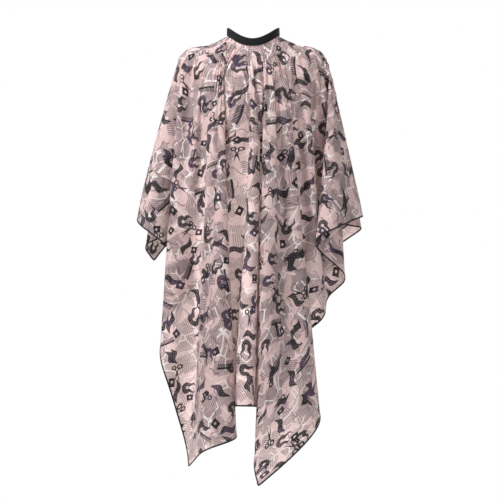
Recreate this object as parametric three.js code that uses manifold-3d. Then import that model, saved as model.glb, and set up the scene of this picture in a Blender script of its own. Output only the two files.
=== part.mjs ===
// Barber cape: one printed cloth, slit down the back and gathered into a black neckband.
// An elastic strap runs in the neckband, and a metal cam clip grips it at the nape.
// Millimetres, +Z up. The wearer faces -Y, and the origin is the centre of the neck opening.
import * as THREE from 'three';
import { mergeVertices } from 'three/addons/utils/BufferGeometryUtils.js';
import Module from 'manifold-3d';

// ---- Driving dimensions ----

const GAP = 0.3; // between pieces that touch

// Neckband: a knitted casing folded double over the gathered edge of the cloth.
const BAND_HEIGHT = 24;
const PLY = 1.4;
const CHANNEL = 2; // between the casing's two plies
const STRAP_RADIUS = 73.5; // of the neckband where the strap leaves it
const TUCKED_RADIUS = 68.5; // of the end that lies under the strap's tail
const NAPE_TILT = THREE.MathUtils.degToRad(12); // the back half of the ring lies in this plane
const FRONT_DROP = 41; // how far the throat hangs under the sides of the ring
const TUCK_START = 80; // where the ring begins to wind inwards, and over how far, in degrees from the nape
const TUCK_SPAN = 240;
const THROAT_START = 80; // where the ring leaves the nape plane, and over how far
const THROAT_SPAN = 25;
const EXIT_ANGLE = 8; // the two ends of the casing, in degrees from the nape
const CLIP_END_ANGLE = 336;
const STITCH_LEVEL = -8; // the row that closes the casing, from the middle of the neckband
const STITCH_RADIUS = 0.35;

// Elastic strap and its crimped tip
const STRAP_WIDTH = 15;
const STRAP_THICKNESS = 1.2;
const STRAP_LIFT = 2.7; // its middle above the middle of the neckband
const STRAP_ROOT_ANGLE = 62;
const STRAP_TAIL_ANGLE = -70;
const TIP_LENGTH = 7;
const TIP_THICKNESS = 2.8;

// Cam clip, around the strap
const CLIP_ANGLE = -5;
const CLIP_SHEET = 1;
const CHEEK_INSIDE = 8.1;
const CHEEK_THICKNESS = 1.2;
const PLATE_FACE = 72.1; // the side of the base plate that the strap lies on
const PLATE_ENTRY = 10;
const PLATE_EXIT = -6;
const PIN_AT = [4, 77.2];
const PIN_RADIUS = 1.1;
const PIN_HEAD_RADIUS = 2.1;
const PIN_HEAD = 0.8;
const LUG_RADIUS = 2.8; // of each cheek round the pin
const BAR_AT = [-9.5, 69.8];
const BAR_RADIUS = 1;
const LEVER_HALF_WIDTH = 7.6;
const BARREL_RADIUS = 2.45;
const TOOTH_RADIUS = 2.8;
const TOOTH_ANGLES = [-24, 0, 24];
const WINDOW_RADIUS = 3; // of the hole in the lever's arm
const KEEPER_HALF_WIDTH = 7;
const KEEPER_HALF_THICKNESS = 0.7;
const KEEPER_REACH = 8; // degrees that its tail runs into the casing

// Care label
const LABEL_WIDTH = 26;
const LABEL_HEIGHT = 36;
const LABEL_THICKNESS = 0.6;
const LABEL_ANGLE = 18;

// Cape: the cloth as it hangs, 3 mm thick to stand for folded layers
const CLOTH_THICKNESS = 3;
const HEM_WIDTH = 6;
const HEM_GAP = 0.8; // keeps the hem off the cloth where its line turns
const SLIT_FACING = 8; // width of the facing beside the slit
const SLIT_GAP = 1; // from the middle of the back to each facing
const NECK_BLEND = 40; // depth over which the cloth leaves the ring for the shoulders
const ROUNDNESS = 2.3; // of the plan outline: 2 is an ellipse, more is squarer
const COLUMNS = 7; // of each panel's grid, and its rows
const ROWS = 13;

// Half width, front depth and back depth of the hanging cape, from the shoulders down.
const ENVELOPE = [
  { z: 0, width: 78, front: 72, back: 72 },
  { z: -28, width: 154, front: 76, back: 84 },
  { z: -49, width: 184, front: 82, back: 96 },
  { z: -90, width: 201, front: 106, back: 112 },
  { z: -200, width: 235, front: 134, back: 142 },
  { z: -350, width: 277, front: 146, back: 164 },
  { z: -518, width: 323, front: 152, back: 184 },
  { z: -600, width: 296, front: 158, back: 186 },
  { z: -850, width: 240, front: 184, back: 176 },
  { z: -1220, width: 212, front: 300, back: 160 },
];

// Height of the hem against the angle from the nape: back, back corner, wing tip, front corner, front.
const HEM = [
  { angle: 0, z: -415 },
  { angle: 22, z: -420 },
  { angle: 50, z: -572 },
  { angle: 88, z: -518 },
  { angle: 96, z: -545 },
  { angle: 130, z: -1222 },
  { angle: 160, z: -1110 },
  { angle: 180, z: -1080 },
];

// ---- Materials ----

function finish(color, roughness, metalness = 0) {
  return new THREE.MeshStandardMaterial({ color, roughness, metalness });
}

const CLOTH = finish(0xdcc0ba, 0.8);
const KNIT = finish(0x191c1d, 0.85);
const ELASTIC = finish(0x15181a, 0.8);
const THREAD = finish(0x101112, 0.7);
const STEEL = finish(0xb9bcc0, 0.28, 1);
const LABEL = finish(0xf1efea, 0.75);

// ---- Solids from grids, outlines and booleans ----

const wasm = await Module();
wasm.setup();

const radians = THREE.MathUtils.degToRad;

function signedVolume(points, triangles) {
  let sum = 0;
  for (let i = 0; i < triangles.length; i += 3) {
    const [a, b, c] = [0, 1, 2].map((k) => points[triangles[i + k]]);
    sum += a.dot(b.clone().cross(c));
  }
  return sum / 6;
}

// A closed geometry from shared points, turned so that its faces point out.
function closedGeometry(points, triangles) {
  if (signedVolume(points, triangles) < 0) triangles.reverse();
  const geometry = new THREE.BufferGeometry().setFromPoints(points);
  geometry.setIndex(triangles);
  geometry.computeVertexNormals();
  return geometry;
}

// Carries a closed outline of [across, up] points through a list of stations.
function sweep(stations, outline) {
  const n = outline.length;
  const points = stations.flatMap(({ centre, across, up }) =>
    outline.map(([a, b]) => centre.clone().addScaledVector(across, a).addScaledVector(up, b)));
  const triangles = [];
  for (let s = 0; s + 1 < stations.length; s += 1) {
    for (let i = 0; i < n; i += 1) {
      const [a, b] = [s * n + i, s * n + ((i + 1) % n)];
      triangles.push(a, b, b + n, a, b + n, a + n);
    }
  }
  const flat = outline.map(([a, b]) => new THREE.Vector2(a, b));
  const turned = THREE.ShapeUtils.isClockWise(flat);
  const last = (stations.length - 1) * n;
  for (const corners of THREE.ShapeUtils.triangulateShape(flat, [])) {
    const same = THREE.ShapeUtils.isClockWise(corners.map((i) => flat[i])) === turned;
    const [a, b, c] = same ? corners : [...corners].reverse();
    triangles.push(c, b, a, last + a, last + b, last + c);
  }
  return closedGeometry(points, triangles);
}

// A shell of even thickness over surface(u, v), with u and v from 0 to 1.
function shell(surface, columns, rows, thickness) {
  const points = [];
  const small = 1e-3;
  for (let side = 0; side < 2; side += 1) {
    for (let j = 0; j <= rows; j += 1) {
      for (let i = 0; i <= columns; i += 1) {
        const [u, v] = [i / columns, j / rows];
        const along = surface(Math.min(u + small, 1), v).sub(surface(Math.max(u - small, 0), v));
        const down = surface(u, Math.min(v + small, 1)).sub(surface(u, Math.max(v - small, 0)));
        const normal = along.cross(down).normalize();
        points.push(surface(u, v).addScaledVector(normal, (side - 0.5) * thickness));
      }
    }
  }
  const width = columns + 1;
  const layer = width * (rows + 1);
  const triangles = [];
  const quad = (a, b, c, d) => triangles.push(a, b, c, a, c, d);
  for (let j = 0; j < rows; j += 1) {
    for (let i = 0; i < columns; i += 1) {
      const a = j * width + i;
      quad(a, a + 1, a + 1 + width, a + width);
      quad(layer + a, layer + a + width, layer + a + 1 + width, layer + a + 1);
    }
  }
  for (let i = 0; i < columns; i += 1) {
    quad(i, layer + i, layer + i + 1, i + 1);
    const b = rows * width + i;
    quad(b, b + 1, layer + b + 1, layer + b);
  }
  for (let j = 0; j < rows; j += 1) {
    const a = j * width;
    quad(a, a + width, layer + a + width, layer + a);
    const b = a + columns;
    quad(b, layer + b, layer + b + width, b + width);
  }
  return closedGeometry(points, triangles);
}

function toManifold(geometry) {
  const bare = geometry.clone();
  bare.deleteAttribute('normal');
  bare.deleteAttribute('uv');
  const merged = mergeVertices(bare, 1e-5);
  const mesh = new wasm.Mesh({
    numProp: 3,
    vertProperties: Float32Array.from(merged.attributes.position.array),
    triVerts: Uint32Array.from(merged.index.array),
  });
  return new wasm.Manifold(mesh);
}

function toGeometry(manifold) {
  const mesh = manifold.getMesh();
  const geometry = new THREE.BufferGeometry();
  geometry.setAttribute('position', new THREE.BufferAttribute(mesh.vertProperties, 3));
  geometry.setIndex(new THREE.BufferAttribute(mesh.triVerts, 1));
  geometry.computeVertexNormals();
  return geometry;
}

function join(...geometries) {
  return toGeometry(geometries.map(toManifold).reduce((a, b) => a.add(b)));
}

function cut(geometry, ...tools) {
  return toGeometry(tools.map(toManifold).reduce((a, b) => a.subtract(b), toManifold(geometry)));
}

// A plate standing on the clip's drawing plane, from height low to high.
function plate(outline, low, high) {
  const shape = new THREE.Shape(outline.map(([x, y]) => new THREE.Vector2(x, y)));
  const geometry = new THREE.ExtrudeGeometry(shape, { depth: high - low, bevelEnabled: false });
  return geometry.translate(0, 0, low);
}

// A round post along the clip's upright axis.
function post([x, y], radius, low, high, segments = 20) {
  const geometry = new THREE.CylinderGeometry(radius, radius, high - low, segments);
  return geometry.rotateX(Math.PI / 2).translate(x, y, (low + high) / 2);
}

// ---- The neckband's path ----

const smooth = (x) => THREE.MathUtils.smoothstep(x, 0, 1);
const NAPE_UP = new THREE.Vector3(0, Math.sin(NAPE_TILT), Math.cos(NAPE_TILT));

// The ring winds slowly inwards, so that one end passes under the strap's tail.
function bandRadius(degrees) {
  return THREE.MathUtils.lerp(STRAP_RADIUS, TUCKED_RADIUS, smooth((degrees - TUCK_START) / TUCK_SPAN));
}

// 0 in the nape plane and 1 where the ring dips to the throat.
function towardsThroat(degrees) {
  return smooth((Math.min(degrees, 360 - degrees) - THROAT_START) / THROAT_SPAN);
}

// A point of the ring's middle line: flat in the tilted nape plane, then dipping to the throat.
function bandPoint(degrees) {
  const angle = radians(degrees);
  const radius = bandRadius(degrees);
  const reach = radius * Math.cos(angle);
  const nape = -reach * Math.sin(NAPE_TILT);
  const throat = -FRONT_DROP * Math.cos(angle) ** 2;
  const z = THREE.MathUtils.lerp(nape, throat, towardsThroat(degrees));
  return new THREE.Vector3(radius * Math.sin(angle), reach * Math.cos(NAPE_TILT), z);
}

function bandStation(degrees) {
  const ahead = bandPoint(degrees + 0.5).sub(bandPoint(degrees - 0.5)).normalize();
  const tilted = NAPE_UP.clone().lerp(new THREE.Vector3(0, 0, 1), towardsThroat(degrees));
  const across = tilted.cross(ahead).normalize();
  const up = ahead.clone().cross(across);
  return { centre: bandPoint(degrees), across, up };
}

function bandStations(start, end, step) {
  const count = Math.round((end - start) / step);
  const angles = Array.from({ length: count + 1 }, (_, i) => start + ((end - start) * i) / count);
  return angles.map(bandStation);
}

function rectangle(across, up, width, height) {
  const [a, b] = [width / 2, height / 2];
  return [[-a, -b], [a, -b], [a, b], [-a, b]].map(([x, y]) => [across + x, up + y]);
}

function circle(across, up, radius, sides) {
  return Array.from({ length: sides }, (_, i) => {
    const angle = (2 * Math.PI * i) / sides;
    return [across + radius * Math.cos(angle), up + radius * Math.sin(angle)];
  });
}

function casing() {
  const [outer, inner, top] = [CHANNEL / 2 + PLY, CHANNEL / 2, BAND_HEIGHT / 2];
  const fold = [[-outer, -top], [-outer, top - 1], [-outer + 1, top], [outer - 1, top], [outer, top - 1],
    [outer, -top], [inner, -top], [inner, top - PLY], [-inner, top - PLY], [-inner, -top]];
  return sweep(bandStations(EXIT_ANGLE, CLIP_END_ANGLE, 4), fold);
}

function stitchRow(side) {
  const across = side * (CHANNEL / 2 + PLY + GAP + STITCH_RADIUS);
  const stations = bandStations(EXIT_ANGLE + 1, CLIP_END_ANGLE - 1, 5);
  return sweep(stations, circle(across, STITCH_LEVEL, STITCH_RADIUS, 6));
}

function bartack(degrees) {
  const across = CHANNEL / 2 + PLY + GAP + 0.4;
  return sweep(bandStations(degrees - 0.8, degrees + 0.8, 0.8), rectangle(across, STRAP_LIFT, 0.8, 13));
}

// A blank folded label sewn in under the neckband, hanging inside the left back panel.
function careLabel() {
  const stitching = 2 * STITCH_RADIUS + GAP;
  const inside = STRAP_RADIUS - CHANNEL / 2 - PLY - stitching - GAP - LABEL_THICKNESS / 2;
  const chord = (LABEL_WIDTH / 2) ** 2 / (2 * inside);
  const label = new THREE.BoxGeometry(LABEL_WIDTH, LABEL_THICKNESS, LABEL_HEIGHT);
  label.translate(0, inside - chord, STITCH_LEVEL - LABEL_HEIGHT / 2 + 2);
  return label.rotateZ(-radians(LABEL_ANGLE));
}

// ---- The strap, in the nape plane ----

function arcStations(start, end, step) {
  const count = Math.round(Math.abs(end - start) / step);
  return Array.from({ length: count + 1 }, (_, i) => {
    const angle = radians(start + ((end - start) * i) / count);
    const across = new THREE.Vector3(Math.sin(angle), Math.cos(angle), 0);
    return { centre: across.clone().multiplyScalar(STRAP_RADIUS), across, up: new THREE.Vector3(0, 0, 1) };
  });
}

function strap() {
  const outline = rectangle(0, STRAP_LIFT, STRAP_THICKNESS, STRAP_WIDTH);
  return sweep(arcStations(STRAP_ROOT_ANGLE, STRAP_TAIL_ANGLE, 4), outline);
}

// A sheet-metal tip crimped round the strap's end, with the end of the strap in its slot.
function strapTip() {
  const length = THREE.MathUtils.radToDeg(TIP_LENGTH / STRAP_RADIUS);
  const [start, end] = [STRAP_TAIL_ANGLE + length / 2, STRAP_TAIL_ANGLE - length / 2];
  const body = sweep(arcStations(start, end, 1), rectangle(0, STRAP_LIFT, TIP_THICKNESS, STRAP_WIDTH + 2.4));
  const slot = sweep(
    arcStations(start + 1, STRAP_TAIL_ANGLE - GAP / 1.3, 1),
    rectangle(0, STRAP_LIFT, STRAP_THICKNESS + 2 * GAP, STRAP_WIDTH + 2 * GAP),
  );
  return cut(body, slot);
}

// ---- The cam clip: X runs against the strap's free end, Y points away from the neck ----

const CLIP_LOW = STRAP_LIFT - CHEEK_INSIDE - CHEEK_THICKNESS;
const CLIP_HIGH = STRAP_LIFT + CHEEK_INSIDE + CHEEK_THICKNESS;

function clipBase() {
  const back = PLATE_FACE - CLIP_SHEET;
  const [pinX, pinY] = PIN_AT;
  const [barX, barY] = BAR_AT;
  const cheek = [
    [PLATE_ENTRY, back], [PLATE_ENTRY, PLATE_FACE + 1.6], [pinX + 2.6, pinY + 1],
    [pinX - 2.6, pinY + 1], [PLATE_EXIT + 2, PLATE_FACE + 1.6], [barX, barY + 1.9],
    [barX - 1.9, barY], [barX, barY - 1.9], [PLATE_EXIT, back],
  ];
  const cheeks = [[CLIP_LOW, CLIP_LOW + CHEEK_THICKNESS], [CLIP_HIGH - CHEEK_THICKNESS, CLIP_HIGH]]
    .map(([low, high]) => join(plate(cheek, low, high), post(PIN_AT, LUG_RADIUS, low, high)));
  const floor = [
    [PLATE_EXIT, back], [PLATE_ENTRY, back], [PLATE_ENTRY, PLATE_FACE], [PLATE_EXIT, PLATE_FACE],
  ];
  const bar = post(BAR_AT, BAR_RADIUS, CLIP_LOW, CLIP_HIGH);
  const frame = join(plate(floor, CLIP_LOW, CLIP_HIGH), ...cheeks, bar);
  return cut(frame, post(PIN_AT, PIN_RADIUS + GAP, CLIP_LOW - 1, CLIP_HIGH + 1));
}

function clipPin() {
  const [low, high] = [CLIP_LOW - GAP, CLIP_HIGH + GAP];
  const shank = post(PIN_AT, PIN_RADIUS, low - PIN_HEAD, high + PIN_HEAD);
  const lower = post(PIN_AT, PIN_HEAD_RADIUS, low - PIN_HEAD, low);
  const upper = post(PIN_AT, PIN_HEAD_RADIUS, high, high + PIN_HEAD);
  return join(shank, lower, upper);
}

// The lever is a barrel round the pin with a toothed cam, and an arm that folds down over the strap.
function clipLever() {
  const [x, y] = PIN_AT;
  const [low, high] = [STRAP_LIFT - LEVER_HALF_WIDTH, STRAP_LIFT + LEVER_HALF_WIDTH];
  const arm = [
    [x, y - 0.2], [x - 12, y - 1.6], [x - 17, y - 1.5], [x - 19.5, y + 0.3],
    [x - 20.2, y - 0.7], [x - 17.4, y - 2.8], [x - 12, y - 2.9], [x, y - 1.6],
  ];
  const barrel = post(PIN_AT, BARREL_RADIUS, low, high, 28);
  const teeth = TOOTH_ANGLES.map((degrees) => {
    const tooth = plate([[-0.5, -2.2], [0.5, -2.2], [0, -TOOTH_RADIUS]], low, high);
    return tooth.rotateZ(radians(degrees)).translate(x, y, 0);
  });
  const body = join(barrel, plate(arm, low, high), ...teeth);
  const window = post([x - 10.5, 0], WINDOW_RADIUS, 0, 10);
  window.rotateX(Math.PI / 2).translate(0, y + 4, STRAP_LIFT);
  return cut(body, post(PIN_AT, PIN_RADIUS + GAP, low - 1, high + 1), window);
}

// A webbing loop round the clip's bar, whose doubled tail is sewn between the casing's plies.
function clipKeeper() {
  const [low, high] = [STRAP_LIFT - KEEPER_HALF_WIDTH, STRAP_LIFT + KEEPER_HALF_WIDTH];
  const half = KEEPER_HALF_THICKNESS;
  const entry = 360 - CLIP_END_ANGLE + CLIP_ANGLE;
  const end = entry + KEEPER_REACH;
  const arc = (radius, from, to) => [0, 0.5, 1].map((k) => {
    const angle = radians(from + (to - from) * k);
    return [-radius * Math.sin(angle), radius * Math.cos(angle)];
  });
  const [x, y] = BAR_AT;
  const ribbon = [
    [x - 1, y + 1.2], ...arc(TUCKED_RADIUS + half, entry, end),
    ...arc(TUCKED_RADIUS - half, end, entry), [x - 1.7, y - 0.4],
  ];
  const loop = join(plate(ribbon, low, high), post(BAR_AT, 2, low, high, 24));
  return cut(loop, post(BAR_AT, BAR_RADIUS + GAP, low - 1, high + 1, 24));
}

// ---- The hanging cape ----

function interpolate(table, key, value, field) {
  const rising = table[1][key] > table[0][key];
  const past = table.findIndex((row) => (rising ? row[key] > value : row[key] < value));
  if (past === 0) return table[0][field];
  if (past < 0) return table[table.length - 1][field];
  const [a, b] = [table[past - 1], table[past]];
  return THREE.MathUtils.lerp(a[field], b[field], (value - a[key]) / (b[key] - a[key]));
}

// Where the cape's outside lies at an angle from the nape and a height.
function envelopePoint(degrees, z) {
  const angle = radians(degrees);
  const width = interpolate(ENVELOPE, 'z', z, 'width');
  const side = Math.cos(angle) > 0 ? 'back' : 'front';
  const depth = interpolate(ENVELOPE, 'z', z, side);
  const sum = Math.abs(Math.sin(angle) / width) ** ROUNDNESS + Math.abs(Math.cos(angle) / depth) ** ROUNDNESS;
  const radius = sum ** (-1 / ROUNDNESS);
  return new THREE.Vector3(radius * Math.sin(angle), radius * Math.cos(angle), z);
}

// The cloth from the neckband's lower edge, at down = 0, to its own edge above the hem, at down = 1.
function capePoint(degrees, down) {
  const { centre, up } = bandStation(degrees);
  const top = centre.addScaledVector(up, -BAND_HEIGHT / 2 - GAP);
  const hem = interpolate(HEM, 'angle', Math.min(degrees, 360 - degrees), 'z');
  const z = THREE.MathUtils.lerp(top.z, hem, down ** 1.8);
  const leave = smooth((top.z - z) / NECK_BLEND);
  return new THREE.Vector3(top.x, top.y, z).lerp(envelopePoint(degrees, z), leave);
}

// The angle at which the cloth lies a given distance to the side of the slit, on the given side.
function besideSlit(distance, down, side) {
  const radius = Math.hypot(capePoint(0.5, down).x, capePoint(0.5, down).y);
  const degrees = THREE.MathUtils.radToDeg(distance / radius);
  return side > 0 ? degrees : 360 - degrees;
}

function capePanel(from, to) {
  const edge = (limit, down) => (typeof limit === 'function' ? limit(down) : limit);
  const surface = (u, v) => capePoint(THREE.MathUtils.lerp(edge(from, v), edge(to, v), u), v);
  return shell(surface, COLUMNS, ROWS, CLOTH_THICKNESS);
}

// The hem lies against the cloth's edge and is square to it. Its angles are those of the panels' columns.
function hemStrip(...spans) {
  const angles = spans.flatMap(([from, to]) =>
    Array.from({ length: COLUMNS + 1 }, (_, i) => from + ((to - from) * i) / COLUMNS));
  const last = angles.length - 1;
  const surface = (u, v) => {
    const i = Math.min(Math.floor(u * last), last - 1);
    const degrees = THREE.MathUtils.lerp(angles[i], angles[i + 1], u * last - i);
    const [before, after] = [Math.max(degrees - 3, angles[0]), Math.min(degrees + 3, angles[last])];
    const along = capePoint(after, 1).sub(capePoint(before, 1)).normalize();
    const away = capePoint(degrees, 1).sub(capePoint(degrees, 0.98));
    away.addScaledVector(along, -away.dot(along)).normalize();
    return capePoint(degrees, 1).addScaledVector(away, HEM_GAP + HEM_WIDTH * v);
  };
  return shell(surface, last, 1, CLOTH_THICKNESS);
}

function slitFacing(side) {
  const near = (down) => besideSlit(SLIT_GAP, down, side);
  const far = (down) => besideSlit(SLIT_GAP + SLIT_FACING, down, side);
  return side > 0 ? capePanel(near, far) : capePanel(far, near);
}

// ---- Assembly ----

const cape = new THREE.Group();
const nape = new THREE.Group();
nape.rotation.x = -NAPE_TILT;
const clip = new THREE.Group();
clip.rotation.z = -radians(CLIP_ANGLE);
nape.add(clip);
cape.add(nape);

function piece(parent, name, geometry, material) {
  const mesh = new THREE.Mesh(geometry, material);
  mesh.name = name;
  parent.add(mesh);
}

const SEAM = 0.2; // half the gap between neighbouring panels, in degrees
const CUTS = [0, 50, 96, 130, 180];
const PANELS = ['back', 'wing', 'side', 'front'];
const spans = PANELS.map((_, i) => [CUTS[i] + SEAM, CUTS[i + 1] - SEAM]);
const mirrored = ([from, to]) => [360 - to, 360 - from];
const facingEdge = (side) => (down) => besideSlit(SLIT_GAP + SLIT_FACING + GAP, down, side);
PANELS.forEach((name, i) => {
  const [from, to] = spans[i];
  piece(cape, `cape_${name}_left`, capePanel(i === 0 ? facingEdge(1) : from, to), CLOTH);
  piece(cape, `cape_${name}_right`, capePanel(360 - to, i === 0 ? facingEdge(-1) : 360 - from), CLOTH);
});
piece(cape, 'slit_facing_left', slitFacing(1), CLOTH);
piece(cape, 'slit_facing_right', slitFacing(-1), CLOTH);

const [, wingSpan, sideSpan, frontSpan] = spans;
const facingSpan = [besideSlit(SLIT_GAP, 1, 1), besideSlit(SLIT_GAP + SLIT_FACING, 1, 1)];
const backSpan = [facingEdge(1)(1), spans[0][1]];
piece(cape, 'hem_back_left', hemStrip(facingSpan, backSpan), THREAD);
piece(cape, 'hem_side_left', hemStrip(wingSpan, sideSpan), THREAD);
piece(cape, 'hem_front', hemStrip(frontSpan, mirrored(frontSpan)), THREAD);
piece(cape, 'hem_side_right', hemStrip(mirrored(sideSpan), mirrored(wingSpan)), THREAD);
piece(cape, 'hem_back_right', hemStrip(mirrored(backSpan), mirrored(facingSpan)), THREAD);

piece(cape, 'neckband_casing', casing(), KNIT);
piece(cape, 'neckband_stitching_outer', stitchRow(1), THREAD);
piece(cape, 'neckband_stitching_inner', stitchRow(-1), THREAD);
piece(cape, 'bartack_strap_exit', bartack(EXIT_ANGLE + 3), THREAD);
piece(cape, 'bartack_clip_end', bartack(CLIP_END_ANGLE - 4), THREAD);

piece(nape, 'care_label', careLabel(), LABEL);

piece(nape, 'elastic_strap', strap(), ELASTIC);
piece(nape, 'strap_tip', strapTip(), STEEL);
piece(clip, 'clip_base', clipBase(), STEEL);
piece(clip, 'clip_pin', clipPin(), STEEL);
piece(clip, 'clip_lever', clipLever(), STEEL);
piece(clip, 'clip_keeper', clipKeeper(), ELASTIC);

export default cape;
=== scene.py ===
"""Barber cape.

One printed cloth is cut flat, gathered to its neck ring and hung over a plain form by simulation, and the
form is then taken away. The neckband, hems, facings, stitching, label and strap are carried along their
paths, and the metal clip keeps its own mesh. Lengths are in metres.
"""

import math

import bpy
import numpy as np
from bpy.props import FloatProperty, FloatVectorProperty, IntProperty, PointerProperty
from bpy.types import Operator, Panel, PropertyGroup
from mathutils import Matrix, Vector


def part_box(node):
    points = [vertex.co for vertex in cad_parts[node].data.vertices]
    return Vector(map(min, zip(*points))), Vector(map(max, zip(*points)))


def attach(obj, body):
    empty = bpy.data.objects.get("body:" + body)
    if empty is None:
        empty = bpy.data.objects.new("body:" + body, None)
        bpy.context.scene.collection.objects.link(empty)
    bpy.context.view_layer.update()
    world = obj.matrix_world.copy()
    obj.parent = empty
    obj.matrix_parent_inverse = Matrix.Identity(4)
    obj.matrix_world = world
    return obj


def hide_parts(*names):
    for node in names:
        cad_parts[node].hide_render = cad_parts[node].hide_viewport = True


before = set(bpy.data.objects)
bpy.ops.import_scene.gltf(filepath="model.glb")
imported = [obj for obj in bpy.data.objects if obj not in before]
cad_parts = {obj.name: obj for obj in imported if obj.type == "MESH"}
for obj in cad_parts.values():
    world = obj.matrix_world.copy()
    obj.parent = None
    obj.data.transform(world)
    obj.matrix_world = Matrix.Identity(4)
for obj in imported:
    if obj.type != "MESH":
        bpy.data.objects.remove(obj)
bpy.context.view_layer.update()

bl_info = {
    "name": "Barber Cape",
    "version": (1, 0, 0),
    "blender": (4, 5, 0),
    "location": "3D View > Sidebar > Cape",
    "description": "Drapes a printed barber cape and builds its neckband, hems, strap and clip",
    "category": "Add Mesh",
}

# The neck ring: a tilted nape half that winds slowly inwards, and a throat that hangs lower.
STRAP_RADIUS = 0.0735
TUCKED_RADIUS = 0.0685
NAPE_TILT = math.radians(12)
FRONT_DROP = 0.041
EXIT_ANGLE = 8.0
CLIP_END_ANGLE = 336.0
CHANNEL = 0.002
PLY = 0.0014
BAND_HALF_HEIGHT = 0.0105
STITCH_LEVEL = -0.008
STRAP_LIFT = 0.0027
STRAP_THICKNESS = 0.0012
STRAP_ANGLES = (62.0, -70.0)
STITCH_RADIUS = 0.00042
TACK_RADIUS = 0.0003
FACING_HALF_THICKNESS = 0.0006
HEM_HALF_THICKNESS = 0.0008
BACK_SEAM = (CLIP_END_ANGLE - 0.8, EXIT_ANGLE + 0.8)  # where the cloth's two slit edges meet the ring

# The cloth's grid. Columns run along the back right, side right, front, side left and back left edges.
ROWS = 48
SIDES = (31, 67, 63, 67, 31)
CORNER_COLUMNS = np.concatenate([[0], np.cumsum(SIDES)])
FINER_ROWS = 3
FINER_COLUMNS = 2
TUCK = 0.007  # cloth held inside the neckband
TUCK_LEVELS = (-0.006, -0.0132)  # heights on the band of the cloth's first two rows, which are held
PANELS = ("back", "wing", "side", "front")
HEM_RUNS = ("back_right", "side_right", "front", "side_left", "back_left")

# The cloth before it falls: slope, then corners swung round and dents pressed in, each with its angle from
# the front and its spread.
CONE = 0.25
SWINGS = ((0.62, 0.42, -0.27), (-0.62, 0.42, -0.10))
DENTS = ((-0.72, 0.15), (0.70, 0.15), (-0.30, 0.10), (0.12, 0.10), (-1.15, 0.12), (1.12, 0.12), (0.42, 0.09))

# The form that the cloth falls on: height, half width, half depth, middle's y and squareness.
TORSO = (
    (0.050, 0.046, 0.046, 0.000, 1.00),
    (-0.018, 0.048, 0.046, 0.000, 1.00),
    (-0.040, 0.066, 0.050, 0.002, 1.00),
    (-0.052, 0.108, 0.056, 0.004, 0.95),
    (-0.064, 0.146, 0.068, 0.008, 0.90),
    (-0.082, 0.170, 0.084, 0.010, 0.85),
    (-0.110, 0.176, 0.098, 0.010, 0.85),
    (-0.200, 0.165, 0.118, 0.000, 0.90),
    (-0.270, 0.155, 0.122, -0.005, 0.90),
    (-0.420, 0.125, 0.098, 0.000, 0.95),
    (-0.520, 0.155, 0.110, 0.000, 0.95),
    (-0.580, 0.165, 0.115, 0.000, 0.95),
)
SHOULDER = (0.158, 0.010, -0.093)
HAND = (0.256, 0.000, -0.470)
ARM_RADII = (0.045, 0.035)
WIDEST = (0.285, 0.345)  # sideways, the hung cloth is eased in from the first and never reaches the second
DEEPEST = (0.215, 0.280)  # the same in depth

# The print. Torn blocks: turn of the grid, seed, cell, half width and half height. Hair: turn, seed, cell.
PRINT_SIZE = 0.83
HATCH_PITCH = 0.0050
BLOCKS = (
    (0.35, 61.0, 0.072, 0.0260, 0.0190),
    (-0.80, 67.0, 0.080, 0.0290, 0.0170),
    (1.90, 71.0, 0.094, 0.0340, 0.0230),
)
HAIR = ((0.20, 31.0, 0.092), (-0.42, 37.0, 0.100))

# The print's inks in the order they are laid: mask, strength and colour.
INKS = (
    ("hatch", 0.84, "taupe"),
    ("light", 0.85, "cream"),
    ("stroke", 0.85, "violet"),
    ("dark", 0.98, "plum"),
    ("violet", 0.50, "violet"),
)

# The care label.
LABEL_TALL = 0.036
LABEL_HALF_WIDTH = 0.013
LABEL_ANGLE = 18.0

# The stage.
CAMERA_DISTANCE = 3.0
CAMERA_HALF_VIEW = 0.70
CAMERA_AIM = (-0.007, -0.610)
SENSOR = 36
FLOOR_HEIGHT = -1.45
FLOOR_RADIUS = 0.95
LIGHT_AIM = (0.0, 0.0, -0.45)
LIGHTS = (
    ("key", (-2.1, -1.6, 1.7), 130, 1.0),
    ("fill", (1.9, -2.3, 0.2), 30, 1.8),
    ("rim", (0.5, 2.4, 0.3), 85, 1.8),
)
WORLD_LIGHT = 0.42


# ---- Sizes and colours that can be changed ----


def linear(code):
    """A hexadecimal display colour as linear red, green and blue."""
    channels = [int(code[i : i + 2], 16) / 255 for i in (0, 2, 4)]
    return tuple(c / 12.92 if c < 0.04045 else ((c + 0.055) / 1.055) ** 2.4 for c in channels)


def length(name, description, default):
    return FloatProperty(name=name, description=description, default=default, min=0.0, unit="LENGTH")


def tint(name, description, code):
    return FloatVectorProperty(
        name=name, description=description, default=linear(code), min=0.0, max=1.0, size=3, subtype="COLOR"
    )


class CapeSizes(PropertyGroup):
    """Sizes of the cut cloth and of what is sewn to it."""

    width: length("Width", "Cut width of the cloth, from side hem to side hem", 1.40)
    front: length("Front length", "From the centre of the neck hole to the front hem", 1.08)
    back: length("Back length", "From the centre of the neck hole to the back hem", 0.42)
    hole: length("Neck hole", "Radius of the cut neck hole, which is gathered into the neckband", 0.090)
    hem: length("Hem", "Width of the overlocked edge", 0.0034)
    facing: length("Facing", "Width of the facing on each edge of the slit", 0.008)
    strap: length("Strap", "Width of the elastic strap", 0.015)
    stitch: length("Stitch", "Length of one stitch and its gap", 0.0034)
    frames: IntProperty(name="Frames", description="Frames that the cloth falls for", default=100, min=1)


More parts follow.
